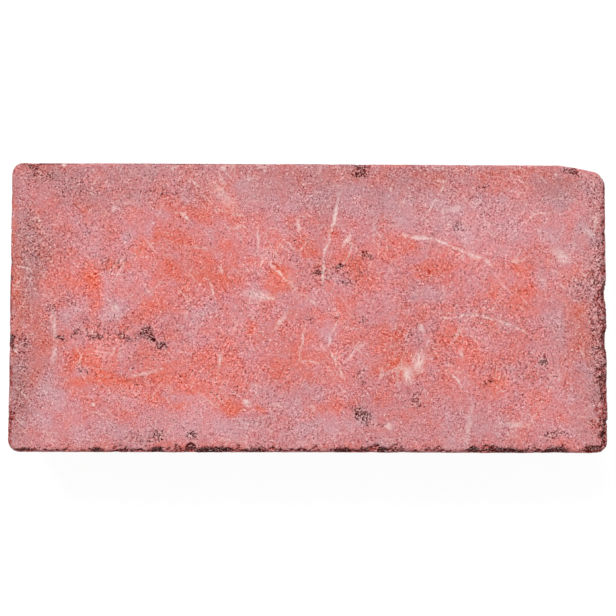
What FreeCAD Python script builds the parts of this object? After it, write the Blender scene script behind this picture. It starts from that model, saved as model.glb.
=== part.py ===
# A solid clay brick of the common format, moulded and fired as one piece, with worn edges.
# Units are millimetres. X runs along the length, Y along the width and Z up.
# The brick lies on its lower bed, and the origin is the middle of that bed.

import FreeCAD, Part
import math
import os

# Overall size of the brick. The front face is the long upright face at low Y.
LENGTH = 250.0
WIDTH = 121.0
HEIGHT = 65.0

# A fired brick is never quite square. Each end leans in towards the back, the front face comes
# forward towards the right by its skew, and the back face does too.
LEFT_END_LEAN = 1.9
RIGHT_END_LEAN = 1.4
FRONT_FACE_SKEW = 0.5
BACK_FACE_SKEW = 0.9

# Radius of each upright corner.
FRONT_LEFT_CORNER = 4.2
FRONT_RIGHT_CORNER = 5.2
BACK_RIGHT_CORNER = 5.2
BACK_LEFT_CORNER = 5.0

# The back right corner is rubbed away in a long, shallow slope that bends off the back face.
WORN_SLOPE_LENGTH = 21.0
WORN_SLOPE_DEPTH = 3.2
WORN_SLOPE_BEND = 45.0

# Rounding of the arrises, the edges between a bed and the upright faces. Those of the upper
# bed are worn unevenly, and those of the lower bed are all alike.
FRONT_ARRIS = 2.6
RIGHT_ARRIS = 3.6
BACK_ARRIS = 1.4
LEFT_ARRIS = 3.0
LOWER_ARRIS = 2.0

# An edge lies flat on a bed if it spans less height than this.
FLAT = 1e-6


def outline_corners():
    """The plan's corners, anticlockwise from the front left, each with its radius."""
    left, right = -LENGTH / 2, LENGTH / 2
    front, back = -WIDTH / 2, WIDTH / 2
    slope_start = right - RIGHT_END_LEAN - WORN_SLOPE_LENGTH
    slope_top = back - BACK_FACE_SKEW
    return [
        (FreeCAD.Vector(left, front + FRONT_FACE_SKEW, 0), FRONT_LEFT_CORNER),
        (FreeCAD.Vector(right, front, 0), FRONT_RIGHT_CORNER),
        (FreeCAD.Vector(right - RIGHT_END_LEAN, slope_top - WORN_SLOPE_DEPTH, 0), BACK_RIGHT_CORNER),
        (FreeCAD.Vector(slope_start, slope_top, 0), WORN_SLOPE_BEND),
        (FreeCAD.Vector(left + LEFT_END_LEAN, back, 0), BACK_LEFT_CORNER),
    ]


def corner_arc(before, corner, after, radius):
    """The arc that rounds a corner, tangent to the two sides that meet there."""
    towards_before = (before - corner).normalize()
    towards_after = (after - corner).normalize()
    half_angle = towards_before.getAngle(towards_after) / 2
    tangent_length = radius / math.tan(half_angle)
    inwards = (towards_before + towards_after).normalize()
    start = corner + towards_before * tangent_length
    middle = corner + inwards * (radius / math.sin(half_angle) - radius)
    end = corner + towards_after * tangent_length
    return Part.Arc(start, middle, end)


def outline_face():
    """The plan of the brick: straight sides joined by tangent arcs."""
    corners = outline_corners()
    count = len(corners)
    arcs = []
    for i, (corner, radius) in enumerate(corners):
        before = corners[i - 1][0]
        after = corners[(i + 1) % count][0]
        arcs.append(corner_arc(before, corner, after, radius))
    edges = []
    for i, arc in enumerate(arcs):
        next_arc = arcs[(i + 1) % count]
        edges.append(arc.toShape())
        edges.append(Part.LineSegment(arc.EndPoint, next_arc.StartPoint).toShape())
    return Part.Face(Part.Wire(edges))


def upper_arris(outwards):
    """The rounding of the upper arris above the side that faces this way."""
    if abs(outwards.x) > abs(outwards.y):
        return RIGHT_ARRIS if outwards.x > 0 else LEFT_ARRIS
    return BACK_ARRIS if outwards.y > 0 else FRONT_ARRIS


def arris_radii(edge):
    """The radii at the start and at the end of one edge of a bed."""
    if edge.CenterOfMass.z < HEIGHT / 2:
        return [LOWER_ARRIS, LOWER_ARRIS]
    radii = []
    for end in (edge.FirstParameter, edge.LastParameter):
        tangent = edge.tangentAt(end)
        outwards = FreeCAD.Vector(tangent.y, -tangent.x, 0)
        if outwards.dot(edge.CenterOfMass) < 0:
            outwards = outwards * -1
        radii.append(upper_arris(outwards))
    return radii


def rounded(block):
    """The block with its arrises rounded. Round a corner, one side's radius blends into the next."""
    document = FreeCAD.newDocument("brick")
    base = document.addObject("Part::Feature", "block")
    base.Shape = block
    fillet = document.addObject("Part::Fillet", "arrises")
    fillet.Base = base
    fillet.Edges = [
        (number, *arris_radii(edge))
        for number, edge in enumerate(block.Edges, start=1)
        if edge.BoundBox.ZLength < FLAT
    ]
    document.recompute()
    return fillet.Shape.Solids[0]


def brick():
    """The finished brick, with its box centred over the origin."""
    block = outline_face().extrude(FreeCAD.Vector(0, 0, HEIGHT))
    solid = rounded(block)
    box = solid.optimalBoundingBox()
    solid.translate(FreeCAD.Vector(-box.Center.x, -box.Center.y, -box.ZMin))
    return solid


def main():
    os.makedirs("parts", exist_ok=True)
    solid = brick()
    box = solid.optimalBoundingBox()
    print("valid", solid.isValid(), "volume mm3", round(solid.Volume, 1))
    print("box mm", round(box.XLength, 3), round(box.YLength, 3), round(box.ZLength, 3))
    solid.exportStep("parts/brick.step")


main()
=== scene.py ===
# %% [markdown]
# # A worn clay brick
# This lesson dresses one fired clay brick. The construction model holds its real size, and is
# loaded here as a fixed frame. On top of it we shape one new piece, a weathered brick with broken
# arrises, pits and chips, and paint it as common red clay under a pale film of lime dust.
# An arris is the edge where two faces of a brick meet, and a bed is one of its two largest faces.

# %% Load the frame
import math
from functools import partial

import bpy
import numpy as np
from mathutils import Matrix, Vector


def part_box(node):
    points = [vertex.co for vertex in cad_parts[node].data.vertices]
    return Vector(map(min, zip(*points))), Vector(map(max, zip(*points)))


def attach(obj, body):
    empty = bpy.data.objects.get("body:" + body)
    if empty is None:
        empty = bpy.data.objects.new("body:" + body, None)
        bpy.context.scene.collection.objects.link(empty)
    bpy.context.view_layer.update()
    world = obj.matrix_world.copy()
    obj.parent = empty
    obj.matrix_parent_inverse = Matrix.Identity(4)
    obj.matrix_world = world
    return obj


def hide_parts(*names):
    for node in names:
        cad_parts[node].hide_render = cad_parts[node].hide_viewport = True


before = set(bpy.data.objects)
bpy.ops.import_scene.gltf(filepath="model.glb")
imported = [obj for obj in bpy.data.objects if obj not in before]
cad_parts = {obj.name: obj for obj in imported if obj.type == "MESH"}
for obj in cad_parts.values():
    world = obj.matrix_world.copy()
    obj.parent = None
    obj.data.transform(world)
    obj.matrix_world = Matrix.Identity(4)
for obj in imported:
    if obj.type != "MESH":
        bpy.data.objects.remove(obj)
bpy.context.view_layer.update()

MM = 0.001  # one millimetre in the scene's metres

low_corner, high_corner = (np.array(corner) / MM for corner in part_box("brick"))
LENGTH, WIDTH, HEIGHT = high_corner - low_corner
HALF_LENGTH, HALF_WIDTH = LENGTH / 2, WIDTH / 2
print("brick, mm:", round(LENGTH, 1), round(WIDTH, 1), round(HEIGHT, 1))

# %% [markdown]
# ## Random lumps to shape with
# Clay breaks and wears in lumps of many sizes. Blender's own textures could push the mesh about,
# but then the shape would sit in a modifier stack. Here a small numpy field gives every point of
# the brick a smooth random height, so that shape and paint can both ask for the same lumps.

# %% A smooth random field
LATTICE = 64  # the random lattice repeats after this many cells
STRIDES = (LATTICE * LATTICE, LATTICE, 1)


def blend(first, second, share):
    """The first value at share 0, the second at share 1, and evenly between."""
    return first + (second - first) * share


def lumps(points, cell, seed):
    """Smooth random heights from -1 to 1, in lumps about one cell wide.

    Each point falls in a cube of a lattice whose corners hold random numbers. The eight numbers
    round the point are blended along z, then y, then x, by how near it is to each, eased so that
    no cube's edge shows.
    """
    lattice = np.random.default_rng(seed).uniform(-1, 1, LATTICE**3).astype(np.float32)
    scaled = (points / cell).T.astype(np.float32)
    low = np.floor(scaled)
    ease = scaled - low
    ease = ease * ease * (3 - 2 * ease)
    low = low.astype(np.int32)
    pairs = [
        (axis % LATTICE * stride, (axis + 1) % LATTICE * stride) for axis, stride in zip(low, STRIDES)
    ]
    cube = [[[lattice[i + j + k] for k in pairs[2]] for j in pairs[1]] for i in pairs[0]]
    plane = [[blend(*ends, ease[2]) for ends in sheet] for sheet in cube]
    line = [blend(*ends, ease[1]) for ends in plane]
    return blend(*line, ease[0])


def rough(points, cell, seed, octaves=3):
    """Lumps on lumps: each octave is half as wide and a little over half as high as the last."""
    heights = [0.55**i * lumps(points, cell / 2**i, seed + i) for i in range(octaves)]
    return sum(heights)


def smooth_step(low, high, value):
    """0 below low, 1 above high and an eased curve between. With low above high it falls."""
    share = np.clip((value - low) / (high - low), 0, 1)
    return share * share * (3 - 2 * share)


sample = np.random.default_rng(1).uniform(0, 99, (9999, 3))
print("lumps on lumps reach", round(float(rough(sample, 5, 1).max()), 2))

# %% [markdown]
# ## The plan of the brick
# A moulded brick comes out of the kiln slightly out of square: its ends lean, and one corner of
# this one is rubbed away in a long slope. We lay a grid over a plain rounded rectangle first, and
# then lean, skew and rub that rectangle with a few short formulas, which keeps the grid even.

# %% Lean and rub the plan
RIGHT_LEAN = 1.4  # how far the right end leans in towards the back
LEFT_LEAN = 1.9
FRONT_SKEW = 0.5  # how far the front face draws back towards the left
BACK_SKEW = 1.3
SLOPE_LENGTH = 22.0  # the rubbed slope at the back right corner
SLOPE_DEPTH = 4.2
SLOPE_REACH = 22.0  # how far in from the back face the grid gives way for it


def out_of_square(x, y):
    """The plan point where a point of the plain rectangle goes.

    A point moves with the nearer end and face, in proportion to how near it is. Along an end the
    lean grows evenly from front to back, and along a face the skew grows evenly from end to end.
    """
    to_back = (y + HALF_WIDTH) / WIDTH
    to_right = (x + HALF_LENGTH) / LENGTH
    right_share = np.clip(x, 0, None) / HALF_LENGTH
    left_share = np.clip(-x, 0, None) / HALF_LENGTH
    back_share = np.clip(y, 0, None) / HALF_WIDTH
    front_share = np.clip(-y, 0, None) / HALF_WIDTH
    rubbed = smooth_step(HALF_LENGTH - SLOPE_LENGTH, HALF_LENGTH + SLOPE_LENGTH / 3, x)
    rubbed = rubbed * smooth_step(HALF_WIDTH - SLOPE_REACH, HALF_WIDTH, y)
    new_x = x - RIGHT_LEAN * to_back * right_share + LEFT_LEAN * to_back * left_share
    new_y = y - BACK_SKEW * to_right * back_share + FRONT_SKEW * (1 - to_right) * front_share
    return new_x, new_y - SLOPE_DEPTH * rubbed


print("the back right corner goes to", np.round(out_of_square(HALF_LENGTH, HALF_WIDTH), 1))

# %% The grid lines of a bed
GRID = 0.42  # spacing of the first, dense grid
CORNER_RADIUS = 5.2  # the upright corners in plan
BED_EDGE = 4.4  # the beds' own grids stop this far in, and the wall's profile takes over
CORNER_CELLS = 10
BEND = CORNER_RADIUS - BED_EDGE  # what a corner's radius still measures on the bed's grid


def bed_lines(half):
    """Grid lines across a bed: even ones, and a few close ones for the rounded corner each side."""
    edge = half - BED_EDGE
    middle = np.linspace(BEND - edge, edge - BEND, round(2 * edge / GRID))
    outer = np.linspace(edge - BEND, edge, CORNER_CELLS + 1)[1:]
    return np.concatenate([-outer[::-1], middle, outer])


def nearest_core(x, y):
    """The nearest point of a square-cornered core that reaches to where the corners turn."""
    half_x, half_y = HALF_LENGTH - BED_EDGE - BEND, HALF_WIDTH - BED_EDGE - BEND
    return np.clip(x, -half_x, half_x), np.clip(y, -half_y, half_y)


def round_corners(x, y):
    """Turns square rings of the grid into rings with round corners.

    In the small square at each corner, a point keeps its ring but slides to lie as far from the
    square's inner corner as that ring is wide, so a square ring becomes a quarter circle.
    """
    core_x, core_y = nearest_core(x, y)
    out_x, out_y = x - core_x, y - core_y
    ring = np.maximum(abs(out_x), abs(out_y))
    reach = np.maximum(np.hypot(out_x, out_y), 1e-9)
    return core_x + out_x * ring / reach, core_y + out_y * ring / reach


x_lines, y_lines = bed_lines(HALF_LENGTH), bed_lines(HALF_WIDTH)
print("bed grid:", len(x_lines), "by", len(y_lines), "lines")

# %% [markdown]
# ## Beds and wall
# The brick's skin is three sheets: the upper bed, the lower bed, and one long wall that runs all
# the way round. The wall is a profile carried along the plan's outline. The profile comes off the
# bed, turns over the upper arris, drops down the face and turns under the lower arris. Each side
# has its own arris radius, because each was worn differently.

# %% The two beds and the outline
bed_x, bed_y = round_corners(*np.meshgrid(x_lines, y_lines, indexing="ij"))
columns, rows = bed_x.shape
numbers = np.arange(columns * rows).reshape(columns, rows)
rim = np.concatenate([numbers[:-1, 0], numbers[-1, :-1], numbers[:0:-1, -1], numbers[0, :0:-1]])
rim_x, rim_y = bed_x.ravel()[rim], bed_y.ravel()[rim]


def outward(x, y):
    """Which way the rim faces: away from the nearest point of the core."""
    core_x, core_y = nearest_core(x, y)
    reach = np.hypot(x - core_x, y - core_y)
    return (x - core_x) / reach, (y - core_y) / reach


face_x, face_y = outward(rim_x, rim_y)
print("the rim has", len(rim), "points")

# %% The arris radii along the outline
UPPER_RADII = {"right": 3.2, "left": 2.6, "back": 1.3, "front": 2.4}
LOWER_RADIUS = 2.0
RADIUS_SWING = 0.22  # how unevenly an arris is worn along its length
RADIUS_LUMP = 17.0
ARRIS_CUTS, EDGE_CUTS = 12, 5  # how finely an arris is cut, and the bed between it and the grid
FACE_STRETCH = 1.15  # levels down the face lie this many grid steps apart
LAST_LEVEL = 0.98  # the last level stops just short of the lower bed's rim


def weigh_sides(values, x, y):
    """The sum of the four sides' values, each times how far (x, y) points to that side."""
    return (
        values["right"] * np.clip(x, 0, None)
        + values["left"] * np.clip(-x, 0, None)
        + values["back"] * np.clip(y, 0, None)
        + values["front"] * np.clip(-y, 0, None)
    )


def arris_radius():
    """The upper arris radius at each rim point: its side's own, blended round the corners by
    which way the rim faces, and swung up and down in long lumps."""
    sides = weigh_sides(UPPER_RADII, face_x * abs(face_x), face_y * abs(face_y))
    rim_points = np.stack([rim_x, rim_y, 0 * rim_x], axis=1)
    return sides * (1 + RADIUS_SWING * lumps(rim_points, RADIUS_LUMP, 11))


def wall_profile(radius):
    """Two tables, inset from the face and height, with a row per level and a column per rim point.

    Level by level: along the bed to where the arris starts, a quarter circle, straight down the
    face, the lower quarter circle, and along the lower bed to its own grid.
    """
    one = np.ones_like(radius)
    turn = np.linspace(0, math.pi / 2, ARRIS_CUTS)[1:-1, None]
    flat = np.linspace(0, 1, EDGE_CUTS)[1:, None]
    drop = np.linspace(0, 1, round(HEIGHT / GRID / FACE_STRETCH))[:, None]
    top, bottom = HEIGHT - radius, LOWER_RADIUS * one
    parts = [
        (BED_EDGE + (radius - BED_EDGE) * flat, HEIGHT * one * flat**0),
        (radius * (1 - np.sin(turn)), top + radius * np.cos(turn)),
        (0 * radius * drop, top + (bottom - top) * drop),
        (LOWER_RADIUS * one * (1 - np.cos(turn)), LOWER_RADIUS * one * (1 - np.sin(turn))),
        (LOWER_RADIUS + (BED_EDGE - LOWER_RADIUS) * one * flat[::2] * LAST_LEVEL, 0 * one * flat[::2]),
    ]
    return tuple(np.concatenate(tables) for tables in zip(*parts))


inset, wall_z = wall_profile(arris_radius())
wall_x = rim_x + face_x * (BED_EDGE - inset)
wall_y = rim_y + face_y * (BED_EDGE - inset)
levels = len(wall_z)
print("the wall has", levels, "levels of", len(rim), "points")

# %% [markdown]
# ## Stitch the sheets
# The three sheets share their rims: the wall's first level hangs on the upper bed's rim and its
# last on the lower bed's. We number the points once and let numpy list the faces, turning each
# sheet's order so that every face looks outwards.

# %% Points and faces
upper = np.stack([bed_x.ravel(), bed_y.ravel(), np.full(bed_x.size, HEIGHT)], axis=1)
lower = np.stack([bed_x.ravel(), bed_y.ravel(), np.zeros(bed_x.size)], axis=1)
wall = np.stack([wall_x.ravel(), wall_y.ravel(), wall_z.ravel()], axis=1)
points = np.concatenate([upper, wall, lower])
points[:, 0], points[:, 1] = out_of_square(points[:, 0], points[:, 1])


def sheet_faces(table):
    """The four-cornered faces between neighbouring rows and columns of a table of point numbers."""
    here, right = table[:-1, :-1], table[1:, :-1]
    across, up = table[1:, 1:], table[:-1, 1:]
    return np.stack([here, right, across, up], axis=-1).reshape(-1, 4)


wall_numbers = len(upper) + np.arange(wall_x.size).reshape(wall_x.shape)
lower_numbers = len(upper) + len(wall) + numbers
ladder = np.concatenate([rim[None], wall_numbers, lower_numbers.ravel()[rim][None]])
ladder = np.concatenate([ladder, ladder[:, :1]], axis=1)
underside = sheet_faces(lower_numbers)[:, ::-1]
faces = np.concatenate([sheet_faces(numbers), sheet_faces(ladder), underside])
print(len(points), "points and", len(faces), "faces before wear")

# %% [markdown]
# ## Rays to carve along
# Wear takes material away. Moved in along the surface's own normals, a sharp arris would fold over
# itself. Instead every point hangs on a ray from a smaller core block inside the brick. The rays
# fan out round the arrises and never cross, so a point can slide in by any amount.

# %% Hang each point on a ray
CORE_INSET = 14.0  # deeper than the deepest chip

core = np.array([HALF_LENGTH, HALF_WIDTH, HEIGHT / 2]) - CORE_INSET
middle = np.array([0, 0, HEIGHT / 2])
anchors = middle + np.clip(points - middle, -core, core)
rays = points - anchors
distance = np.linalg.norm(rays, axis=1)
rays /= distance[:, None]
print("rays are", round(distance.min(), 1), "to", round(distance.max(), 1), "mm long")

# %% [markdown]
# ## Gentle waves and broad wear
# A hand can feel that no face of an old brick is flat. We take off up to a few tenths of a
# millimetre in broad, shallow waves. Only depths are added, never heights, so the brick stays
# inside the size that the frame gives it.

# %% How near a point is to an arris
gap_x = HALF_LENGTH - abs(points[:, 0])
gap_y = HALF_WIDTH - abs(points[:, 1])
gap_z = np.minimum(points[:, 2], HEIGHT - points[:, 2])
to_arris = np.sort(np.stack([gap_x, gap_y, gap_z], axis=1), axis=1)[:, 1]
is_high = smooth_step(0.45, 0.7, points[:, 2] / HEIGHT)
on_upper_bed = smooth_step(2.5, 1.0, HEIGHT - points[:, 2])
on_lower_bed = smooth_step(1.5, 0.3, points[:, 2])
print("the middle of a bed is", round(float(to_arris.max()), 1), "mm from an arris")

# %% Waves
FACE_WAVE, FACE_WAVE_LUMP = 0.3, 26.0
BED_WAVE, BED_WAVE_LUMP = 0.35, 24.0
SKIN_WAVE, SKIN_WAVE_LUMP = 0.2, 4.5

face_wave = FACE_WAVE * (0.5 + 0.5 * lumps(points, FACE_WAVE_LUMP, 21))
bed_wave = BED_WAVE * (0.5 + 0.5 * lumps(points, BED_WAVE_LUMP, 22))
wave = blend(face_wave, bed_wave, on_upper_bed)
wave += SKIN_WAVE * (0.5 + 0.5 * rough(points, SKIN_WAVE_LUMP, 23, 3))
wave *= 1 - 0.8 * on_lower_bed
print("waves take off up to", round(float(wave.max()), 2), "mm")

# %% [markdown]
# ## Crumbled arrises
# Along the front and right arrises the fired skin has crumbled off in crusts, and the broken clay
# below is rough and dark. A crust comes away where a rough random field is high, and the field
# counts for more the nearer a point is to the arris. That gives a ragged border on the bed side.

# %% Which side a point is near, and how much crumbles there
SIDE_BLEND = 5.0  # how wide a corner shares two sides' values
CRUMBLE = {"right": 0.62, "left": 0.4, "back": 0.12, "front": 0.6}
CRUMBLE_REACH = {"right": 4.6, "left": 3.2, "back": 1.4, "front": 3.4}
CRUMBLE_DEPTH = 1.25
CRUMBLE_LUMP = 3.2

near_x = np.exp(-gap_x / SIDE_BLEND) * np.sign(points[:, 0])
near_y = np.exp(-gap_y / SIDE_BLEND) * np.sign(points[:, 1])
near_both = np.maximum(abs(near_x) + abs(near_y), 1e-9)  # never 0, as it divides


def by_side(values):
    """Each side's value, blended round the corners by how near a point is to each side."""
    return weigh_sides(values, near_x, near_y) / near_both


# %% Crumble
edge_share = smooth_step(1.0, 0.1, to_arris / by_side(CRUMBLE_REACH))
crust = by_side(CRUMBLE) * edge_share * (0.35 + 0.65 * is_high)
crust = crust + 0.55 * rough(points, CRUMBLE_LUMP, 31, 4)
gone = smooth_step(0.34, 0.46, crust) * (edge_share > 0)
crumbled = gone * CRUMBLE_DEPTH * (0.55 + 0.6 * rough(points, 1.3, 41, 2))
crumbled = np.clip(crumbled, 0, None)
print(round(100 * float(gone.mean()), 1), "% of the points lie in broken crust")

# %% [markdown]
# ## Pits and rotten patches
# Air, pebbles and lime burst out of the clay and leave pits, and where many lie together the skin
# is rotten: a ragged patch of crumbs and tiny dark holes. The patches are listed as soft ovals.
# Inside one, the skin is eaten where a rough random field is high. The few larger pits are bowls
# whose walls wander in and out with another field, and the faces have pits all round.

# %% Soft ovals, used for wear and later for paint
STRAY, STRAY_LUMP = 0.9, 2.5  # how far a patch's rim strays, and in lumps how wide


def sideways(cell, seed):
    """Two random fields for every point of the brick, to shift it along x and along y."""
    return np.stack([lumps(points, cell, seed), lumps(points, cell, seed + 1)], axis=1).astype(float)


def patches(where, listed):
    """How strongly a list of soft ovals covers each point: an oval's strength at its middle,
    easing to nothing past its rim, with the strongest oval winning.

    Each oval is x, y, half length, half width and strength. A sixth number turns it, in degrees.
    """
    cover = np.zeros(len(where), np.float32)
    for x, y, half_long, half_wide, strength, *turn in listed:
        angle = math.radians(sum(turn))
        cosine, sine = math.cos(angle), math.sin(angle)
        along = cosine * (where[:, 0] - x) + sine * (where[:, 1] - y)
        aside = cosine * (where[:, 1] - y) - sine * (where[:, 0] - x)
        away = np.hypot(along / half_long, aside / half_wide)
        cover = np.maximum(cover, strength * smooth_step(1.3, 0.4, away))
    return cover


strayed = points[:, :2] + STRAY * sideways(STRAY_LUMP, 53)
print("a patch's rim strays up to", round(float(abs(strayed - points[:, :2]).max()), 1), "mm")

# %% Rotten patches of the upper bed
ROTTEN = [
    # a broken line of them at the left
    (-105.5, -1, 2, 3, 0.6), (-102.7, -12.7, 4, 1.4, 0.95, -6), (-96.3, -10.6, 2.6, 1.5, 0.85, 20),
    (-88, -12.3, 5, 1.5, 0.9), (-76.8, -11.5, 2.6, 2.6, 0.95, 30), (-72, -12.7, 4, 1.6, 0.8),
    (-67.5, -10.6, 4.2, 3, 1.0, 20), (-64.5, -13, 2.6, 2, 1.1), (-60.5, -15.8, 3.6, 2.2, 1.05, -35),
    (-83, -9, 20, 7, 0.42), (-71, -22, 6, 4.5, 0.42), (-93, -26, 3.4, 2.6, 0.55),
    (-71.5, -30.2, 5, 1.6, 0.55), (-101, 3.5, 6, 4, 0.45),
    # the group right of the middle
    (24.3, 21.5, 4.4, 2, 0.9, -30), (13, 17.5, 2.6, 2, 1.05, 30), (4.4, 14.2, 3.6, 1.4, 0.95),
    (3.5, 16.6, 1.6, 1.2, 0.7), (16.5, 10.6, 5.4, 1.6, 0.75), (21, 16, 2, 1.4, 0.6),
    (-5.2, 27.8, 1.6, 1.2, 0.7), (-4.4, 19, 1.4, 1, 0.6), (13, 15, 15, 8, 0.4, 10),
    (1, -4.6, 3, 1.4, 0.7), (11.5, -4.4, 2.4, 1.6, 0.7), (22, -5, 4, 3, 0.45),
    # along the right
    (62, 33, 2.6, 2.2, 0.85, 30), (72.5, 50.6, 2, 1.6, 0.75), (98, -22, 3, 1.9, 1.0, 20),
    (74.8, -30.2, 3.4, 1.4, 0.8, 10), (93, 14.4, 1.4, 1.4, 0.65), (52, -16, 2, 3, 0.5),
    (86, -26, 22, 9, 0.36), (116, 8, 7, 10, 0.5), (118, 48, 5, 10, 0.5),
    # near the front
    (22.5, -44, 5.4, 3.6, 1.0, -35), (28, -48.5, 5, 2, 0.7, -10), (22.5, -28.5, 5, 5, 0.5),
    (45, -37.8, 3, 4.4, 0.7), (-68, -54, 12, 3.5, 0.5), (-20, -47, 8, 3, 0.4),
    (103, -52.5, 8, 2.4, 0.7, 12), (-62, -53, 4, 3, 0.8), (-48, -53, 3, 3, 0.9),
    # near the back and the corners
    (21.8, 56, 4.2, 2.8, 1.0), (-60.6, 47.3, 1.6, 1.4, 0.8), (-107, 55, 3, 2, 0.7),
    (-113.5, 54, 6, 5, 0.5, 40), (109.5, 56.5, 6, 2, 0.85, -20), (-117, -14.5, 3, 3.4, 0.7),
    (70, 48, 5, 3, 0.4), (-94, 50, 14, 8, 0.48), (-62, 49, 24, 7, 0.4), (-92, 27, 26, 12, 0.33),
    (121, -2, 5.5, 56, 0.62), (-119, -30, 4, 26, 0.5), (-114, 28, 7, 18, 0.45), (-80, 18, 10, 6, 0.5),
    (-52, -8, 16, 8, 0.3), (60, -8, 30, 16, 0.28),
]
ROTTEN_DEPTH = 0.8
ROTTEN_LUMP = 1.4

rotten = patches(strayed, ROTTEN) * on_upper_bed
eaten = rotten + 0.62 * rough(points, ROTTEN_LUMP, 55, 3)
eaten = smooth_step(0.8, 1.15, eaten) * (rotten > 0.02)
share_rotten = 100 * float((rotten > 0.3).mean())
print(len(ROTTEN), "rotten patches cover", round(share_rotten, 1), "% of the points")

# %% Larger single pits: their radius and depth, and the places of those that share them
PITS = {
    (1.1, 1.6): [(-64.1, -13.1)],
    (0.9, 1.4): [(23.5, 56.6)],
    (0.8, 1.3): [(13.4, 17.9)],
    (0.8, 1.2): [(-122, -12)],
    (0.7, 1.2): [(-61, -16.6), (22.8, 23.1), (97.2, -22.6), (22.2, -44.2)],
    (0.7, 1.0): [(-101.4, -12.9), (-107, 55.3), (-113.8, 55.5)],
    (0.7, 0.9): [(25.8, -46), (-60.6, 47.3)],
    (0.6, 1.0): [(-66.2, -8.4), (-75.2, -12.6), (-90.6, -13.3), (4.5, 14.1), (19.8, 55.6)],
    (0.6, 0.9): [(-96.6, -10.6), (12, 16.8), (64.3, 32.2), (46.5, -40.7)],
    (0.6, 0.8): [(1.9, 14), (106, 56)],
    (0.5, 0.9): [(-59, -15.2), (19.5, -42.4), (24.6, -48.2)],
    (0.5, 0.8): [
        (-78, -9.6), (-87, -12.2), (-70.5, -13.2), (26.6, 20.2), (6.6, 13.8), (16.4, 10), (20, 10.9),
        (100, -20.6), (76.8, -30.2),
    ],
    (0.5, 0.7): [
        (-104.5, -12.4), (2.9, 16.4), (12.4, 10.6), (-5.2, 27.8), (60.4, 33.5), (72.6, 50.7), (45, -37.6),
        (93.2, 14.5),
    ],
}
SMALL_PITS = 260
SMALL_PIT_RADIUS = (0.35, 0.65)
SIDE_PITS = 560  # round the four faces
SIDE_PIT_RADIUS = (0.4, 1.9)
SIDE_PIT_DROP = 4  # how far below the bed the highest ones lie

# %% Sink the pits
pit_wander = 1 + 0.45 * lumps(points, 1.2, 51) + 0.2 * lumps(points, 0.6, 52)
sunk = np.zeros(len(points))
by_axis = np.ascontiguousarray(points.T)  # whole rows of x, y and z are quicker to search


def inside_box(centre, half):
    """The numbers of the points inside a box round a centre."""
    within = [abs(axis - place) < reach for axis, place, reach in zip(by_axis, centre, half)]
    return np.flatnonzero(within[0] & within[1] & within[2])


def sink(depths, x, y, z, radius, depth):
    """Deepens the points of one pit: full depth inside a third of its wandering radius, then up
    its wall to nothing at the rim. Where pits meet, the deeper one wins."""
    near = inside_box((x, y, z), (1.7 * radius,) * 3)
    away = np.linalg.norm(points[near] - (x, y, z), axis=1) / (radius * pit_wander[near])
    depths[near] = np.maximum(depths[near], depth * smooth_step(1.0, 0.33, away))


for (radius, depth), places in PITS.items():
    for x, y in places:
        sink(sunk, x, y, HEIGHT, radius, depth)

scatter = np.random.default_rng(5)
for _ in range(SMALL_PITS):
    x, y = scatter.uniform(-1, 1, 2) * (HALF_LENGTH - 3, HALF_WIDTH - 3)
    radius = scatter.uniform(*SMALL_PIT_RADIUS)
    sink(sunk, x, y, HEIGHT, radius, 0.8 * radius)
below_arris = len(upper) + np.flatnonzero(wall[:, 2] < HEIGHT - SIDE_PIT_DROP)
for spot in points[scatter.choice(below_arris, SIDE_PITS)]:
    radius = blend(*SIDE_PIT_RADIUS, scatter.uniform() ** 3)  # mostly small ones
    sink(sunk, *spot, radius, 0.7 * radius)
pit_depth = np.maximum(sunk, ROTTEN_DEPTH * eaten)
print(sum(map(len, PITS.values())), "placed pits and", SMALL_PITS + SIDE_PITS, "scattered ones")

# %% [markdown]
# ## Chips
# Knocks take whole flakes off an arris. Each is the bite of an egg centred on the sharp arris line:
# so long, so far in on the bed, so far down the face. Where a ray from the core first meets the
# egg, the brick now ends. The egg's size wavers with a random field, so the break is rough.

# %% Bite a chip
LINES = {
    "front": ((0, -HALF_WIDTH), (1, 0)),
    "back": ((0, HALF_WIDTH), (1, 0)),
    "right": ((HALF_LENGTH, 0), (0, 1)),
    "left": ((-HALF_LENGTH, 0), (0, 1)),
}
bite_wander = 1 + 0.2 * lumps(points, 2.4, 61) + 0.12 * lumps(points, 1.1, 62)
bite_wander += 0.07 * lumps(points, 0.6, 63)


def bite(lengths, side, along, length, reach, drop, z=HEIGHT):
    """Shortens the rays that meet one chip.

    In coordinates divided by the egg's half sizes the egg is a unit sphere, so the ray meets it
    at the smaller root of a quadratic. Rays that miss it, or end before it, are left alone.
    """
    (line_x, line_y), (along_x, along_y) = LINES[side]
    centre = np.array([line_x + along * along_x, line_y + along * along_y, z])
    half = np.array([length / 2 if along_x else reach, length / 2 if along_y else reach, drop])
    near = inside_box(centre, 1.4 * half)
    size = half * bite_wander[near, None]
    start, step = (anchors[near] - centre) / size, rays[near] / size
    a, b, c = (step * step).sum(1), (start * step).sum(1), (start * start).sum(1) - 1
    inside = b * b - a * c
    meets = (-b - np.sqrt(np.clip(inside, 0, None))) / a
    hit = (inside > 0) & (meets > 0)
    lengths[near] = np.where(hit, np.minimum(lengths[near], meets), lengths[near])


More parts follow.
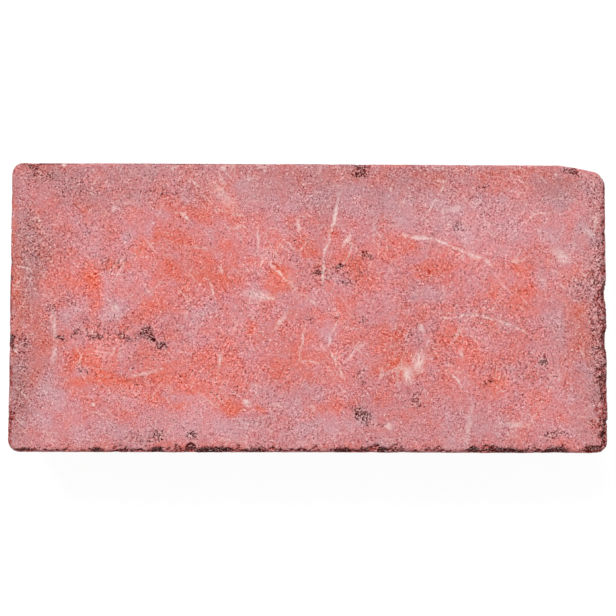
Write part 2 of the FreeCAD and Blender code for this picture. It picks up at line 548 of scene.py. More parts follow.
# %% The chips on each side: place along it, length, reach on the bed and drop down the face
CHIPS = {
    "front": [
        (-37.5, 20, 2.4, 3.0), (-48, 7, 4.2, 4.0), (-62.5, 6, 3.0, 3.4), (-87.5, 6, 2.2, 2.6),
        (-103, 12, 1.6, 2.2), (-22.5, 7, 2.0, 2.6), (-6, 16, 1.4, 2.2), (14, 10, 1.9, 2.6),
        (31, 6, 2.6, 3.0), (50, 10, 1.3, 2.2), (69, 7, 2.8, 3.2), (82, 17, 2.2, 2.8), (103, 14, 2.2, 3.0),
        (119, 12, 3.2, 4.0), (-119, 12, 2.6, 3.0),
    ],
    "right": [
        (-53, 12, 3.6, 5.0), (-34, 18, 4.2, 4.0), (-13.5, 11, 3.4, 9.0), (6, 11, 3.6, 9.0),
        (-4, 6, 2.0, 3.0), (28, 16, 1.8, 2.4),
    ],
    "left": [
        (-17, 4, 3.4, 3.6), (-12, 4, 2.6, 3.0), (16, 20, 2.0, 2.4), (-38, 20, 1.8, 2.2),
        (44, 10, 1.6, 2.0),
    ],
    "back": [
        (22.5, 8, 3.2, 3.4), (-114, 5, 3.8, 3.6), (-84, 4, 1.2, 1.5), (-33, 5, 1.2, 1.5),
        (70, 5, 1.2, 1.6), (47, 4, 1.0, 1.2), (108, 9, 1.6, 2.0), (-55, 6, 1.0, 1.4),
    ],
}
SMALL_CHIPS = {"front": 110, "right": 52, "left": 36, "back": 30}
SMALL_REACH = {"front": 1.25, "right": 1.5, "left": 1.2, "back": 0.7}
SMALL_LENGTH = (1.2, 4.5)

# %% Bite the chips
carved = distance - wave - np.maximum(crumbled, pit_depth)
unchipped = carved.copy()
for side, chips in CHIPS.items():
    for chip in chips:
        bite(carved, side, *chip)
for side, count in SMALL_CHIPS.items():
    along_x = LINES[side][1][0]
    half_side = HALF_LENGTH if along_x else HALF_WIDTH
    for _ in range(count):
        along = scatter.uniform(-half_side, half_side)
        length = scatter.uniform(*SMALL_LENGTH)
        reach = SMALL_REACH[side] * scatter.uniform(0.7, 1.6)
        bite(carved, side, along, length, reach, reach * scatter.uniform(0.8, 1.5))
        bite(carved, side, -along, 1.5 * length, 1.4 * reach, 1.3 * reach, z=0)
chipped = unchipped - carved
print(sum(map(len, CHIPS.values())), "placed and", 2 * sum(SMALL_CHIPS.values()), "small chips")
print("the deepest takes", round(float(chipped.max()), 1), "mm")

# %% [markdown]
# ## What the paint needs to know
# The material will need to know where the clay is broken, where it is crumbly, how deep a pit is,
# which is painted dark as shade, where shade and some dirt are painted along the arrises, and where
# the pale film lies. Each is one number per point, kept in the mesh as a named attribute, so that
# the pattern belongs to the brick and not to a window or a camera.
# Years of handling also rubbed the skin off the arrises, and off the raw spots listed here, so the
# red body shows there as it does in a break.

# %% Broken clay, painted shade in the pits, and crumbs
WORN_RED = {"right": 0.62, "left": 0.6, "back": 0.15, "front": 0.22}  # how bare each arris is rubbed
WORN_RED_REACH = {"right": 6.0, "left": 3.6, "back": 2.0, "front": 3.4}
WORN_RED_LUMP = 9
WORN_RED_END = (32, 12)  # along y it is gone past the first, and full before the second
RAW = [
    (21.8, 56.5, 4.4, 3, 0.85), (120.5, -46, 4.5, 13, 0.5), (74.8, -29, 4, 2.2, 0.45, 30),
    (45.6, -39, 1.8, 5, 0.45), (113, -27, 4, 2, 0.45), (22.5, -44, 5, 3, 0.42, -35),
    (-118.5, -13, 5, 3, 0.48), (-64, -12.5, 5, 3, 0.42, -30), (-102, -12.5, 5, 1.6, 0.4),
    (13, 17.5, 4, 3, 0.4, 30), (109.5, 56.5, 6, 2, 0.5, -20), (121, 4, 3.4, 8, 0.5),
]

broken = np.maximum(smooth_step(0.2, 0.7, chipped), gone * smooth_step(0.15, 0.7, crumbled))
worn_red = by_side(WORN_RED) * smooth_step(1.0, 0.4, to_arris / by_side(WORN_RED_REACH))
rubbed_skin = smooth_step(-0.35, 0.3, rough(points, WORN_RED_LUMP, 83, 3))
worn_red *= rubbed_skin * smooth_step(*WORN_RED_END, points[:, 1])
broken = np.maximum(np.maximum(broken, worn_red), patches(strayed, RAW) * on_upper_bed)
pit_shade = smooth_step(0.45, 1.0, sunk)  # painted shade, darker in deeper pits; a shallower pit gets none
crumbly = np.maximum(rotten, 0.85 * broken)
shape_points = anchors + rays * carved[:, None]
print(round(100 * float((broken > 0.5).mean()), 1), "% of the points are broken clay")

# %% Where the film is thin, where it is thick, and where grey dust lies: soft ovals again
BARE = [
    (-47, 17, 24, 17, 0.5), (-89, 9, 5, 9, 1.15, 8), (-101, 11, 13, 8, 0.5), (-52, 26, 8, 6, 0.8),
    (-91, -23, 12, 7, 1.0), (-86, -31, 18, 3.5, 0.9), (-46, -28, 26, 13, 0.5), (-4, -20, 18, 13, 0.5),
    (0, 27, 7, 6, 0.7), (17, 17, 9, 7, 0.6), (35, 25, 9, 7, 0.6), (50, 15, 10, 5, 0.6),
    (33, -20, 8, 15, 0.7), (90, 4, 7, 20, 0.6), (-38, 40, 20, 6, 0.5), (65, -17, 13, 12, 0.45),
    (-70, -34, 10, 8, 0.6), (-15, 8, 8, 6, 0.6), (-62, 0, 6, 8, 0.5), (78, -28, 6, 5, 0.6, 45),
    (-33, -41, 6, 3.6, 1.2), (-18.5, -42, 2.5, 4, 1.2), (-121.5, 14, 3.4, 34, 1.2), (-64, 28, 10, 5, 0.6),
    (109.5, 32, 3, 5, 0.7), (-11, 15, 5, 3, 0.9), (60, 56, 50, 2.5, 0.5), (38, -50, 16, 6, 0.5),
    (-115, 2, 8, 44, 0.42), (-80, 17, 9, 6, 0.5), (-60, 4, 9, 14, 0.35), (114, -8, 7, 18, 0.5),
    (54, -33, 14, 6, 0.4),
]
PALE = [
    (62, 36, 42, 12, 0.65, -6), (20, 45, 55, 7, 0.6), (-24, 50, 12, 5, 0.4, 10), (0, -51, 118, 7, 0.65),
    (-107, -40, 9, 14, 0.8), (104, 34, 14, 20, 0.5), (105.5, 43.5, 7, 5, 0.9), (112, -20, 7, 34, 0.1),
    (76, 43, 12, 3.4, 0.95), (60, 42, 7, 5, 0.9), (-43, -1, 9, 5, 0.6), (-21, 10, 6, 7, 0.75),
    (47, -42, 30, 9, 0.2), (-79.5, 1, 6, 6, 0.8, 30), (-80, 12.5, 7, 3, 0.4),
    (-64.5, 31.5, 3.4, 4.5, 0.9), (-101, -3, 5, 4, 0.8), (-73, 29, 5, 4, 0.7), (85, 34, 20, 12, 0.4),
    (4, 4, 7, 7, 0.5), (8, -11, 5, 8, 0.55), (-4, -38, 14, 7, 0.6), (60, -47, 24, 6, 0.2),
    (98, -8, 12, 14, 0.3), (-53, -37.2, 10, 2.2, 0.85), (43, 4, 20, 5, 0.35), (-114.5, 18, 3, 7, 0.6),
    (117, 33, 5, 6, 0.9), (112, -21, 4, 4, 0.85), (116, -30, 4, 9, 0.7), (-93, -26, 5, 3, 0.8),
    (-86, 24, 12, 5, 0.4), (-50, -48, 26, 6, 0.5), (96, 12, 5, 5, 0.6),
]
DUSTY = [
    (-115, 33, 5, 14, 1.0), (-108, 55, 16, 5, 0.9), (-60, 58, 70, 3, 0.8), (117, 20, 6, 34, 0.6),
    (-112, -26, 5, 14, 0.6), (0, -58, 120, 3.4, 0.3), (108, 50, 16, 8, 0.6), (-88, 47, 30, 9, 0.6),
    (80, 50, 30, 8, 0.4), (117, -48, 8, 8, 0.5), (106, 50, 18, 9, 0.9), (-116, 20, 9, 30, 1.0),
]

# %% Lay the film and the dust
WANDER = 3.5  # film and dust stray further than wear does
BED_FILM, PALE_ADDS, BARE_TAKES = 0.46, 0.38, 0.34
SIDE_FILM, SIDE_FILM_SWING, SIDE_FILM_LUMP = 0.5, 0.35, 22
wandered = points[:, :2] + WANDER * (sideways(12, 71) + 0.7 * sideways(5, 73))
bed_film = BED_FILM + PALE_ADDS * patches(wandered, PALE) - BARE_TAKES * patches(wandered, BARE)
side_film = SIDE_FILM + SIDE_FILM_SWING * rough(points, SIDE_FILM_LUMP, 75)
film = blend(side_film, bed_film, on_upper_bed)

DUST = {"right": 0.9, "left": 1.2, "back": 0.95, "front": 0.3}  # how thick the dust is at each side
DUST_REACH = 38.0  # how far in from an arris the grey dust thins out
edge_dust = by_side(DUST) * smooth_step(DUST_REACH, -4, to_arris) * (0.75 + 0.3 * lumps(points, 9, 79))
dust = np.maximum(edge_dust, patches(wandered, DUSTY) * on_upper_bed)
print("film", round(float(film.min()), 2), "to", round(float(film.max()), 2))

# %% Painted shade with some dirt, all along the arrises and darker in the chips there
# Painted shade: each listed spot sits on a chip along an arris and paints it dark.
CHIP_SHADE = [
    (-87.5, -60, 2.5, 4, 0.6), (-62.5, -60, 3.4, 5, 0.65), (-40, -60, 11, 4.6, 0.65),
    (-22, -60, 4, 4, 0.55), (14.5, -60, 5, 4, 0.6), (31, -60, 2.6, 5, 0.65), (69, -60, 3, 5, 0.65),
    (82, -60, 13, 3.2, 0.55), (103, -60, 7, 5, 0.6), (21.8, 60, 4, 4, 0.5), (124, -52, 3, 8, 0.5),
    (124, 6, 3, 3, 0.5), (124, -14, 3, 3, 0.5), (-124, -13, 3, 3, 0.7), (-124, 12, 3, 2, 0.6),
    (-113, 59, 3, 2, 0.5),
]
# Painted shade with some dirt: a thin dark band along every arris, darkest at the back.
ARRIS_SHADE_AND_DIRT = {"right": 0.12, "left": 0.4, "back": 0.6, "front": 0.3}  # how dark the very arris is
ARRIS_SHADE_AND_DIRT_REACH = {"right": 3.6, "left": 2.4, "back": 1.9, "front": 4.8}
CHIP_SHADE_REACH = (5.5, 1.5)  # in from an arris it is gone past the first, and full within the second
arris_shade_and_dirt = by_side(ARRIS_SHADE_AND_DIRT) * smooth_step(1.0, 0.15, to_arris / by_side(ARRIS_SHADE_AND_DIRT_REACH))
arris_shade_and_dirt = arris_shade_and_dirt * np.clip(0.75 + 0.8 * rough(points, 7, 81, 2), 0, 1)
arris_shade_and_dirt = np.maximum(arris_shade_and_dirt, patches(strayed, CHIP_SHADE) * smooth_step(*CHIP_SHADE_REACH, to_arris))
print(len(CHIP_SHADE), "burnt spots, with soot of up to", round(float(arris_shade_and_dirt.max()), 2))

# %% [markdown]
# ## Into a mesh
# The dense grid is heavier than it need be, as most of the bed is nearly flat. A Decimate modifier
# merges points there and keeps them in the pits and chips. We bake its result into a plain mesh.

# %% A function that fills a mesh from arrays


def new_mesh(name, vertices, quads, attributes):
    """A smooth mesh from whole arrays: points in metres, four-cornered faces, and one number per
    point for each named attribute."""
    mesh = bpy.data.meshes.new(name)
    mesh.vertices.add(len(vertices))
    mesh.vertices.foreach_set("co", vertices.astype(np.float32).ravel())
    mesh.loops.add(quads.size)
    mesh.loops.foreach_set("vertex_index", quads.astype(np.int32).ravel())
    mesh.polygons.add(len(quads))
    mesh.polygons.foreach_set("loop_start", np.arange(0, quads.size, 4, dtype=np.int32))
    for key, values in attributes.items():
        layer = mesh.attributes.new(key, "FLOAT", "POINT")
        layer.data.foreach_set("value", values.astype(np.float32))
    mesh.update(calc_edges=True)
    mesh.validate()
    mesh.shade_smooth()
    return mesh


# %% Build the piece and thin it
MOST_TRIANGLES = 196000  # for the finished piece

paint = {"broken": broken, "pit_shade": pit_shade, "crumbly": crumbly, "film": film, "dust": dust, "arris_shade_and_dirt": arris_shade_and_dirt}
dense = new_mesh("dense_brick", shape_points * MM, faces, paint)
brick = bpy.data.objects.new("worn_brick", dense)
bpy.context.scene.collection.objects.link(brick)
thin = brick.modifiers.new("thin", "DECIMATE")
thin.ratio = MOST_TRIANGLES / (2 * len(faces))
thin.use_collapse_triangulate = True
evaluated = brick.evaluated_get(bpy.context.evaluated_depsgraph_get())
brick.modifiers.clear()
brick.data = bpy.data.meshes.new_from_object(evaluated)
brick.data.name = "worn_brick"

# Thinning can push a point out by a hair, so each is held inside the frame's box.
held = np.empty(3 * len(brick.data.vertices), np.float32)
brick.data.vertices.foreach_get("co", held)
held = np.clip(held.reshape(-1, 3), low_corner * MM, high_corner * MM)
brick.data.vertices.foreach_set("co", held.ravel())
bpy.data.meshes.remove(dense)
print("thinned to", len(brick.data.polygons), "triangles")

# %% [markdown]
# ## Paint
# Colours are written as the hex values that a screen shows. Blender works in linear light, so one
# function turns them over. One more small function adds a node, sets it and links it. A node tree
# could be drawn by hand in the shader editor, and each call below is one node of that drawing.

# %% Colours, and one function for every node


def linear(hex_colour):
    """A screen's hex colour as the linear red, green, blue and alpha that Blender works in."""
    screen = [int(hex_colour[i : i + 2], 16) / 255 for i in (1, 3, 5)]
    light = [c / 12.92 if c <= 0.04045 else ((c + 0.055) / 1.055) ** 2.4 for c in screen]
    return (*light, 1.0)


def add_node(tree, kind, inputs=(), output=0, **settings):
    """Adds one node and gives back one of its outputs.

    Settings are the node's own properties. Inputs are a list in the node's order, or go by name or
    number. Each is a number, a colour or another node's output, which is linked.
    """
    new = tree.nodes.new("ShaderNode" + kind)
    for name, value in settings.items():
        setattr(new, name, value)
    for name, value in inputs.items() if isinstance(inputs, dict) else enumerate(inputs):
        if isinstance(value, bpy.types.NodeSocket):
            tree.links.new(value, new.inputs[name])
        else:
            new.inputs[name].default_value = value
    return new.outputs[output] if new.outputs else new


# A Math node adds unless its operation says otherwise.
EASED = {"interpolation_type": "SMOOTHSTEP"}  # makes a Map Range ease in and out
COLOURS = {"data_type": "RGBA", "output": 2}  # makes a Mix node mix its inputs 6 and 7 as colours
print("mid grey in linear light:", round(linear("#808080")[0], 3))

# %% [markdown]
# ## Fired common clay under lime dust
# The real material is common red clay, sand-moulded and fired, so it is porous and quite matt. Its
# body is orange-red, and years of mortar and weather have left a pale mauve film in its pores. The
# eye reads three things: a sandy grain, a patchwork of film and bare clay, and dark pores. The
# patterns run on the brick's own coordinates in millimetres, so each size in the table is a real
# one, but for the finest grains, which are drawn coarser so that they show.

# %% Start the material, in millimetres
clay = bpy.data.materials.new("fired_common_clay")
clay.use_nodes = True
tree = clay.node_tree
tree.nodes.clear()
node = partial(add_node, tree)  # from here on, node(...) adds one to the clay
place = node("TexCoord", output="Object")
mm_place = node("Mapping", {"Vector": place, "Scale": (1 / MM,) * 3})
number = {name: node("Attribute", output="Fac", attribute_name=name) for name in paint}
print("the mesh gives the paint", ", ".join(number))

# %% The patterns by their real sizes: lump in mm, detail, roughness, and perhaps stretch and turn
PATTERNS = {
    "mottle": (9.0, 3, 0.65),  # film blotches, from a thumb's width down to a few grains
    "smear": (2.2, 3, 0.7, 2.6, 72),  # film dragged along the bed
    "cloud": (40.0, 2, 0.5),  # kiln shading from end to end
    "scuff_up": (1.1, 2, 0.6, 9, 68),  # faint scuffs in three directions
    "scuff_down": (1.1, 2, 0.6, 9, -48),
    "scuff_flat": (1.1, 2, 0.6, 9, -8),
    "scuff_up_area": (16.0, 1, 0.5),  # each shows only in some areas
    "scuff_down_area": (16.0, 1, 0.5),
    "scuff_flat_area": (16.0, 1, 0.5),
    "hairline": (15.0, 1, 0.4, 2.4, 60),  # long thin scratches run where this is near its middle
    "hairline_area": (9.0, 1, 0.5),
    "sand": (0.46, 1, 0.6),  # moulding sand is finer, 0.2 mm, and is drawn coarser to show
    "grit": (1.2, 2, 0.6),  # crushed clay in the body
    "calm": (7.0, 2, 0.6),  # the grain is rubbed flat in places
    "pores": (0.85, 2, 0.6),  # open pores, each about half a lump wide
    "pore_area": (12.0, 2, 0.6),
    "crumbs": (0.75, 3, 0.75),  # crumbs and holes of rotten clay
    "flecks": (0.85, 2, 0.6),  # specks of lime
    "ragged": (2.2, 3, 0.7),  # the border of a broken arris
    "break_up": (0.9, 3, 0.7),  # how the grain interrupts a stroke of lime
}
APART = 30.0  # each pattern is cut from its own spot of the noise, this far from the last

pattern = {}
for spot, (name, (lump, detail, roughness, *drawn_out)) in enumerate(PATTERNS.items()):
    stretch, turn = drawn_out or (1, 0)
    scaling = {
        "Vector": mm_place,
        "Location": (APART * spot,) * 3,
        "Rotation": (0.0, 0.0, math.radians(turn)),
        "Scale": (lump * stretch, lump, lump),
    }
    scaled = node("Mapping", scaling, vector_type="TEXTURE")
    look = {"Vector": scaled, "Scale": 1.0, "Detail": detail, "Roughness": roughness}
    pattern[name] = node("TexNoise", look)
print(len(pattern), "patterns, from", min(p[0] for p in PATTERNS.values()), "mm up")

# %% [markdown]
# ### The film
# The film's depth is one number per point. The mesh gives its broad patches, and two noises tear
# them. A colour ramp turns the depth into a colour, from bare orange clay at 0 to chalky mauve at
# 1. One ramp keeps all the in-between colours true, where separate tints would muddy each other.

# %% Film depth to colour
FILM_COLOURS = {0.0: "#E8705D", 0.24: "#E57C73", 0.47: "#DF898A", 0.74: "#D9979D", 1.0: "#DAA6AC"}
TEAR, DRAG = 1.15, 0.3  # how strongly the mottle and the smear tear the film

torn = node("Math", [pattern["mottle"], TEAR, number["film"]], operation="MULTIPLY_ADD")
dragged = node("Math", [pattern["smear"], DRAG, torn], operation="MULTIPLY_ADD")
depth = node("Math", [dragged, (TEAR + DRAG) / 2], operation="SUBTRACT")
colour = node("ValToRGB", [depth])
stops = colour.node.color_ramp.elements
stops.remove(stops[1])
stops[0].color = linear(FILM_COLOURS[0.0])
for position, hex_colour in list(FILM_COLOURS.items())[1:]:
    stops.new(position).color = linear(hex_colour)
print("the film ramp has", len(stops), "colours")

# %% Grey dust, which takes the red down towards the arrises
DUST_COLOUR = linear("#8E7A7C")
DUST_SHARE = 0.44
share = node("Math", [number["dust"], DUST_SHARE], operation="MULTIPLY")
colour = node("Mix", {0: share, 6: colour, 7: DUST_COLOUR}, **COLOURS)
print("dust of strength 1 hides", DUST_SHARE, "of the film")

# %% Faint scuffs and hairline scratches
SCUFF = linear("#EFC2BC")
SCUFF_SHARE, HAIRLINE_SHARE = 0.5, 0.5
HAIRLINE_HALF = 0.006  # in units of the noise, and it makes lines about half a millimetre wide
scuffs = 0.0
for way in ("scuff_up", "scuff_down", "scuff_flat"):
    streak = node("MapRange", [pattern[way], 0.56, 0.72], **EASED)
    area = node("MapRange", [pattern[way + "_area"], 0.46, 0.62], **EASED)
    both = node("Math", [streak, area], operation="MULTIPLY")
    scuffs = node("Math", [scuffs, both], operation="MAXIMUM")
share = node("Math", [scuffs, SCUFF_SHARE], operation="MULTIPLY")
colour = node("Mix", {0: share, 6: colour, 7: SCUFF}, **COLOURS)

middle_line = node("Math", [pattern["hairline"], 0.5, HAIRLINE_HALF], operation="COMPARE")
area = node("MapRange", [pattern["hairline_area"], 0.5, 0.62, 0.0, HAIRLINE_SHARE], **EASED)
share = node("Math", [middle_line, area], operation="MULTIPLY")
colour = node("Mix", {0: share, 6: colour, 7: SCUFF}, **COLOURS)
print("scuffs in 3 directions, and hairlines over them")

# %% [markdown]
# ### The grain
# Sand grains catch the light and pores lose it, so the grain swings brighter and darker about the
# colour beneath. Bright grains are also whiter, because lime sits on them. So the swing scales the
# colour and adds a little white as well.

# %% Sand and grit
SAND, GRIT = 0.58, 0.24
WHITENESS = 1.0  # how much of the swing is white light rather than the clay's own colour
CALM, ROUGHEST = 0.35, 1.35
KILN_SHADE = 0.35  # how much brighter the cloud pattern would be at 1 than at 0
SWING_MIDDLE = (SAND + GRIT) / 2

sand = node("Math", [pattern["sand"], SAND, -SWING_MIDDLE], operation="MULTIPLY_ADD")
swing = node("Math", [pattern["grit"], GRIT, sand], operation="MULTIPLY_ADD")
calm = node("MapRange", [pattern["calm"], 0.35, 0.65, CALM, ROUGHEST])
swing = node("Math", [swing, calm], operation="MULTIPLY")
gain = node("Math", [pattern["cloud"], KILN_SHADE, swing], operation="MULTIPLY_ADD")
gain = node("Math", [gain, 1 - KILN_SHADE / 2])
colour = node("VectorMath", {0: colour, "Scale": gain}, operation="SCALE")
white = node("Math", [swing, WHITENESS], operation="MULTIPLY")
white = node("CombineXYZ", [white] * 3)
colour = node("VectorMath", [colour, white])
colour = node("VectorMath", [colour, (0.0, 0.0, 0.0)], operation="MAXIMUM")
print("grain of", PATTERNS["sand"][0], "and", PATTERNS["grit"][0], "mm")

# %% [markdown]
# ### Pores, crumbs and broken clay
# Open pores are maroon pin-pricks all over. In rotten patches and along broken arrises tiny holes
# crowd together, painted dark as shade, with pale pink crumbs between them. The deeper pits are
# painted dark as shade too. Fresh breaks show the redder clay inside, and the very arris and its
# chips are painted dark, as shade with some dirt.

# %% Broken clay, and the arris painted dark with shade and some dirt
BROKEN_CLAY, ARRIS_SHADE_AND_DIRT_COLOUR = linear("#AC3E3A"), linear("#4A1E20")
BROKEN_SHARE, ARRIS_SHADE_AND_DIRT_SHARE = 0.85, 0.9
ragged = node("Math", [number["broken"], pattern["ragged"]])
share = node("MapRange", [ragged, 0.9, 1.12, 0.0, BROKEN_SHARE], **EASED)
colour = node("Mix", {0: share, 6: colour, 7: BROKEN_CLAY}, **COLOURS)
# Painted shade with some dirt: the very arris and its chips are painted dark.
ragged = node("Math", [number["arris_shade_and_dirt"], pattern["crumbs"]])
share = node("MapRange", [ragged, 0.72, 1.15, 0.0, ARRIS_SHADE_AND_DIRT_SHARE], **EASED)
colour = node("Mix", {0: share, 6: colour, 7: ARRIS_SHADE_AND_DIRT_COLOUR}, **COLOURS)
print("broken clay lies over", BROKEN_SHARE, "of a fresh break")

# %% Pores and crumbs, with painted shade in holes and pits
# The second colour is painted shade, for the tiny holes of rotten clay and the deeper pits.
PORE, HOLE_SHADE, LIME = linear("#6C060A"), linear("#580309"), linear("#FCE4DE")
PINK_CRUMB = linear("#F9CFCA")
PORE_SHARE, HOLE_SHADE_SHARE, LIME_CRUMB_SHARE, FLECK_SHARE, PIT_SHADE_SHARE = 0.95, 0.97, 0.6, 0.72, 0.97
CROWDING, LIME_CROWDING = 0.17, 0.13  # how far rotten clay lowers the bar for a crumb

pores = node("MapRange", [pattern["pores"], 0.6, 0.65, 0.0, PORE_SHARE], **EASED)
area = node("MapRange", [pattern["pore_area"], 0.35, 0.6, 0.25, 1.0])
share = node("Math", [pores, area], operation="MULTIPLY")
colour = node("Mix", {0: share, 6: colour, 7: PORE}, **COLOURS)

flecks = node("MapRange", [pattern["flecks"], 0.625, 0.69, 0.0, FLECK_SHARE], **EASED)
colour = node("Mix", {0: flecks, 6: colour, 7: LIME}, **COLOURS)

# Painted shade: where clay is rotten, tiny holes are painted dark, and the bump sinks them too.
crowded = node("Math", [number["crumbly"], CROWDING, pattern["crumbs"]], operation="MULTIPLY_ADD")
shaded_holes = node("MapRange", [crowded, 0.66, 0.698, 0.0, HOLE_SHADE_SHARE], **EASED)
limed = node("Math", [number["crumbly"], -LIME_CROWDING, pattern["crumbs"]], operation="MULTIPLY_ADD")
pale_crumbs = node("MapRange", [limed, 0.36, 0.3, 0.0, LIME_CRUMB_SHARE], **EASED)
colour = node("Mix", {0: pale_crumbs, 6: colour, 7: PINK_CRUMB}, **COLOURS)
colour = node("Mix", {0: shaded_holes, 6: colour, 7: HOLE_SHADE}, **COLOURS)
# Painted shade: the deeper a pit, the darker it is painted.
share = node("Math", [number["pit_shade"], PIT_SHADE_SHARE], operation="MULTIPLY")
colour = node("Mix", {0: share, 6: colour, 7: HOLE_SHADE}, **COLOURS)
print("the paint has", len(tree.nodes), "nodes so far")

# %% [markdown]
# ## Strokes of lime
# Pale strokes cross the bed where something hard was dragged over it and left a trace of lime. A
# painted image could hold them, but a formula keeps them sharp at any distance. Each straight run
# is a spherical gradient, 1 at its middle and 0 at its rim, which a Mapping node stretches and
# turns to lie along the run. A bent stroke is several runs, and the sandy grain breaks them up.

# %% The strokes: points along each in millimetres, half width and strength
STROKES = [
    # long ones
    ([(13, 47), (8.5, 27), (6.5, 21.5), (6, 9.5)], 1.0, 1.0),
    ([(39.4, 30.6), (42, 29.4), (52.7, 28.5), (58.5, 26), (65, 22.7), (73.5, 20.2), (76, 17.5)], 1.1, 0.95),
    ([(53.5, -4.8), (60, -3.7), (67, -3.1), (72, -3.5), (78.5, -5.2), (85, -7.7), (91, -10.2)], 0.8, 0.8),
    ([(11, 0), (12.7, -4.4), (9.4, -10.5), (8.5, -16), (12, -23.5), (15.2, -30.2)], 0.8, 0.75),
    ([(-0.6, -5), (-4, -22), (6, -22.7)], 0.8, 0.7),
    ([(-106, 0), (-104.5, -14), (-106, -24)], 1.8, 0.6),
    # broad smears
    ([(46.5, -18), (44.8, -27)], 3.9, 0.95), ([(40.2, -23), (42.5, -32)], 3.2, 0.85),
    ([(101.5, 24), (108.5, 19)], 3.2, 0.75), ([(114.5, 33), (119, 29)], 1.8, 0.6),
    ([(118.7, 38), (119, 33)], 1.4, 0.7), ([(-41, 52.5), (-28, 38)], 3.6, 0.35),
    ([(23.5, -14.4), (19, -18)], 1.8, 0.5), ([(-26.5, 6), (-14, 4.4)], 3.0, 0.6),
    ([(67.7, -41), (65.5, -57)], 1.7, 0.55), ([(82, -48), (91, -48.6)], 2.0, 0.6),
    ([(-9, 15), (-4, 5)], 2.4, 0.35),
    # short ones
    ([(17.7, 31), (14.2, 25)], 1.3, 0.85), ([(-4.4, 37), (-3.4, 32)], 1.0, 1.0),
    ([(-5.8, 34.4), (-3, 33.6)], 0.8, 0.8), ([(-52.7, 39.8), (-48.8, 36)], 0.9, 1.0),
    ([(-49.6, 53.4), (-44, 49.8)], 0.8, 0.75), ([(-33, 33), (-25.5, 33.6)], 1.5, 0.45),
    ([(-20.6, 34), (-20.8, 22.3)], 0.7, 0.7), ([(-19, 21.5), (-19.6, 15.6)], 0.7, 0.75),
    ([(-17, 20), (-6.8, 9)], 0.9, 0.85), ([(-36.5, 18.5), (-35.4, 14)], 0.9, 0.95),
    ([(-41.5, 13.1), (-38.1, 2.3)], 0.8, 0.7), ([(-19, 5.4), (-13.1, 3)], 0.9, 1.0),
    ([(-47.3, 25.6), (-40.6, 24)], 0.7, 0.5), ([(-9, -1.9), (-14, -9.4)], 1.4, 0.65),
    ([(-0.6, 4), (3.5, 1.5)], 0.9, 0.8), ([(5.2, -13.5), (7.7, -18.5)], 0.8, 0.55),
    ([(21, -16), (15.2, -22.7)], 1.0, 0.6), ([(46, -6.5), (48.2, -10.5)], 1.4, 0.8),
    ([(50.2, -12), (48.5, -17)], 0.7, 0.6), ([(58.5, -26), (63.7, -33)], 0.8, 0.85),
    ([(63.5, -17), (64, -21)], 1.1, 0.6), ([(56, 52.7), (55.2, 46.9)], 0.8, 0.75),
    ([(53.5, 46), (49.4, 39.4)], 1.0, 0.65), ([(35.2, 52), (34.4, 47.5)], 0.7, 0.6),
    ([(-74, -28.5), (-60, -25.5)], 1.2, 0.5), ([(-35.6, -17.7), (-37, -25)], 1.3, 0.65),
    ([(96, 13), (99, 9)], 1.2, 0.4), ([(-28, 52.5), (-20, 54)], 1.4, 0.4),
    ([(28, 38), (27, 30)], 0.9, 0.35), ([(55, 40), (64, 42)], 1.6, 0.4),
]
SPOTS = [
    (-80.6, 40.9, 1.5, 0.9), (102.7, 55, 1.1, 1.0), (-101, 59.3, 1.3, 1.0), (-35.4, 58, 1.6, 1.0),
    (-17.7, 56.7, 0.9, 0.9), (-25.4, -39.5, 2.3, 0.9), (-80, 0, 2.4, 0.6), (-89, -40.2, 1.2, 0.9),
    (33.5, -48.8, 2.2, 0.8), (-121.8, -17.4, 1.3, 1.0), (-76, 27, 0.9, 0.7), (-76, 43.5, 0.7, 0.5),
    (-33.5, -37.3, 1.1, 0.6), (123, -4.5, 1.4, 0.7), (-56, 58, 1.0, 0.8), (-44.8, -26, 0.9, 0.6),
]

# %% Every stroke and spot as ovals: middle, half length, half width, turn and strength
OVERLAP = 1.4  # how many times its length a run is drawn, so that a bent stroke has no gaps

ovals = []
for line, half_width, strength in STROKES:
    for (x, y), (next_x, next_y) in zip(line, line[1:]):
        half_length = OVERLAP * math.hypot(next_x - x, next_y - y) / 2
        turn = math.atan2(next_y - y, next_x - x)
        ovals.append(((x + next_x) / 2, (y + next_y) / 2, half_length, half_width, turn, strength))
ovals += [(x, y, radius, radius, 0.0, strength) for x, y, radius, strength in SPOTS]
print(len(ovals), "ovals of lime")

# %% Lay them along a shaken line, so that none is ruler-straight
SHAKE, SHAKE_LUMP = 2.6, 2.9
NARROWING = 0.95  # the shaking spreads an oval's rim, so each is drawn a little narrower
LIME_DOWN = 6.0  # how far down the faces an oval reaches
sway = {"Vector": mm_place, "Scale": 1 / SHAKE_LUMP, "Detail": 3.0}
sway = node("TexNoise", sway, output="Color")
shaken = node("VectorMath", [sway, (SHAKE,) * 3, mm_place], operation="MULTIPLY_ADD")
shaken = node("VectorMath", [shaken, (SHAKE / 2,) * 3], operation="SUBTRACT")

lime_total = 0.0
for x, y, half_length, half_width, turn, strength in ovals:
    lie = {"Vector": shaken, "Location": (x, y, HEIGHT), "Rotation": (0.0, 0.0, turn)}
    lie["Scale"] = (half_length, NARROWING * half_width, LIME_DOWN)
    oval = node("Mapping", lie, vector_type="TEXTURE")
    oval = node("TexGradient", [oval], output="Fac", gradient_type="SPHERICAL")
    oval = node("Math", [oval, strength], operation="MULTIPLY")
    lime_total = node("Math", [lime_total, oval], operation="MAXIMUM")
print("the strokes stray up to", SHAKE / 2, "mm")

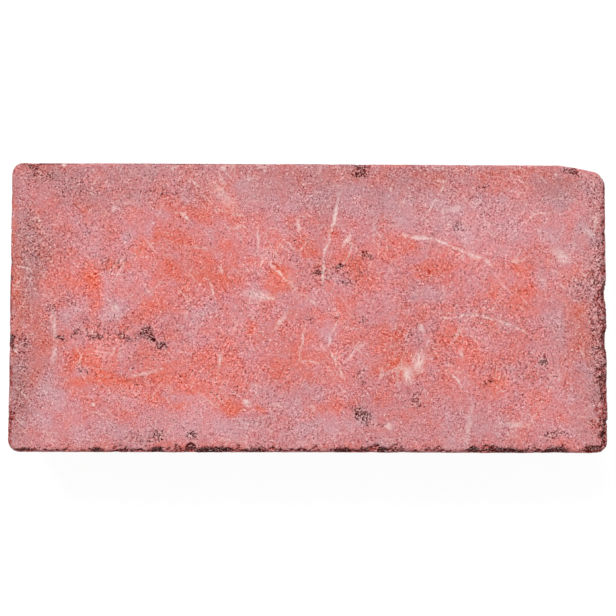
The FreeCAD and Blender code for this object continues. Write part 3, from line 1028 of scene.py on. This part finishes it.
# %% The grain breaks the lime up
MOST_LIME = 0.72  # how far lime ever hides the clay
LIME_SHARE = 1.5  # over 1, so that the middle of a strong stroke hides as much as it may
break_up = node("MapRange", [pattern["break_up"], 0.32, 0.6, 0.05, 1.0], **EASED)
share = node("Math", [lime_total, break_up], operation="MULTIPLY")
share = node("Math", [share, LIME_SHARE], operation="MULTIPLY", use_clamp=True)
share = node("Math", [share, MOST_LIME], operation="MULTIPLY")
colour = node("Mix", {0: share, 6: colour, 7: LIME}, **COLOURS)
print("lime hides up to", MOST_LIME, "of the clay")

# %% Relief finer than the mesh, in millimetres, and the shader
SAND_RELIEF, GRIT_RELIEF, CRUMB_RELIEF = 0.06, 0.13, -0.25
relief = node("Math", [pattern["sand"], SAND_RELIEF], operation="MULTIPLY")
for part, rise in ((pattern["grit"], GRIT_RELIEF), (shaded_holes, CRUMB_RELIEF)):
    relief = node("Math", [part, rise, relief], operation="MULTIPLY_ADD")
bump = node("Bump", {"Height": relief, "Distance": MM, "Strength": 1.0})
surface = {"Base Color": colour, "Normal": bump, "Roughness": 0.93, "IOR": 1.45}
surface["Specular IOR Level"] = 0.05  # the pores swallow nearly all of the sheen
shader = node("BsdfPrincipled", surface)
node("OutputMaterial", {"Surface": shader})
brick.data.materials.append(clay)
print("the clay material has", len(tree.nodes), "nodes")

# %% Put it on the frame
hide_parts("brick")
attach(brick, "root")
print("worn_brick stands in for the frame's brick")

# %% [markdown]
# ## Floor, light and camera
# The brick lies on a plain white floor. The floor glows only where it is seen, so that it reads as
# white without throwing more light on the brick, and it still takes the soft shadow.

# %% Floor
FLOOR_HALF = 4.0
square_corners = [(-1, -1), (1, -1), (1, 1), (-1, 1)]
floor_mesh = bpy.data.meshes.new("floor")
floor_mesh.from_pydata([(x * FLOOR_HALF, y * FLOOR_HALF, 0) for x, y in square_corners], [], [(0, 1, 2, 3)])
floor = bpy.data.objects.new("floor", floor_mesh)
bpy.context.scene.collection.objects.link(floor)

paper = bpy.data.materials.new("white_paper")
world = bpy.data.worlds.new("studio")
bpy.context.scene.world = world
seen = {}
for stage in (paper, world):
    stage.use_nodes = True
    stage.node_tree.nodes.clear()
    node = partial(add_node, stage.node_tree)
    looks = [node("LightPath", output=f"Is {ray} Ray") for ray in ("Camera", "Glossy", "Transmission")]
    either = node("Math", looks[:2], operation="MAXIMUM")
    seen[stage.name] = node("Math", [either, looks[2]], operation="MAXIMUM")
print("the floor is", 2 * FLOOR_HALF, "m wide")

# %% The floor's glow, only where it is seen
GLOW_SHARE = 0.88
node = partial(add_node, paper.node_tree)
share = node("Math", [seen["white_paper"], GLOW_SHARE], operation="MULTIPLY")
matt = node("BsdfDiffuse", {"Color": linear("#F4F4F4")})
glow = node("Emission", {"Strength": 1.08})
blended = node("MixShader", [share, matt, glow])
node("OutputMaterial", {"Surface": blended})
floor_mesh.materials.append(paper)
print("the floor glows by", GLOW_SHARE)

# %% World: soft light from all round, and white where it is seen
WORLD_LIGHT = 0.34
node = partial(add_node, world.node_tree)
strength = node("MapRange", [seen["studio"], 0.0, 1.0, WORLD_LIGHT, 1.0])
background = node("Background", {"Strength": strength})
node("OutputWorld", {"Surface": background})
print("the world lights by", WORLD_LIGHT)

# %% Key light: a large soft panel, high behind and to the left
KEY_PLACE = Vector((-0.5, 1.3, 2.4))
KEY_SIZE = 1.1
KEY_POWER = 63.0
lamp = bpy.data.lights.new("key", "AREA")
lamp.size = KEY_SIZE
lamp.energy = KEY_POWER
key = bpy.data.objects.new("key", lamp)
key.location = KEY_PLACE
key.rotation_euler = KEY_PLACE.to_track_quat("Z", "Y").to_euler()
bpy.context.scene.collection.objects.link(key)
print("the key light is", round(KEY_PLACE.length, 1), "m away")

# %% Camera, straight above
VIEW_WIDTH = 255.2 * MM  # what the view spans at the upper bed
lens = bpy.data.cameras.new("camera")
lens.lens = 110
lens.sensor_width = 36
camera = bpy.data.objects.new("camera", lens)
camera.location = (0, 0, HEIGHT * MM + VIEW_WIDTH * lens.lens / lens.sensor_width)
bpy.context.scene.collection.objects.link(camera)
bpy.context.scene.camera = camera
bpy.context.scene.view_settings.view_transform = "Standard"
print("the camera is", round(camera.location.z, 2), "m up")
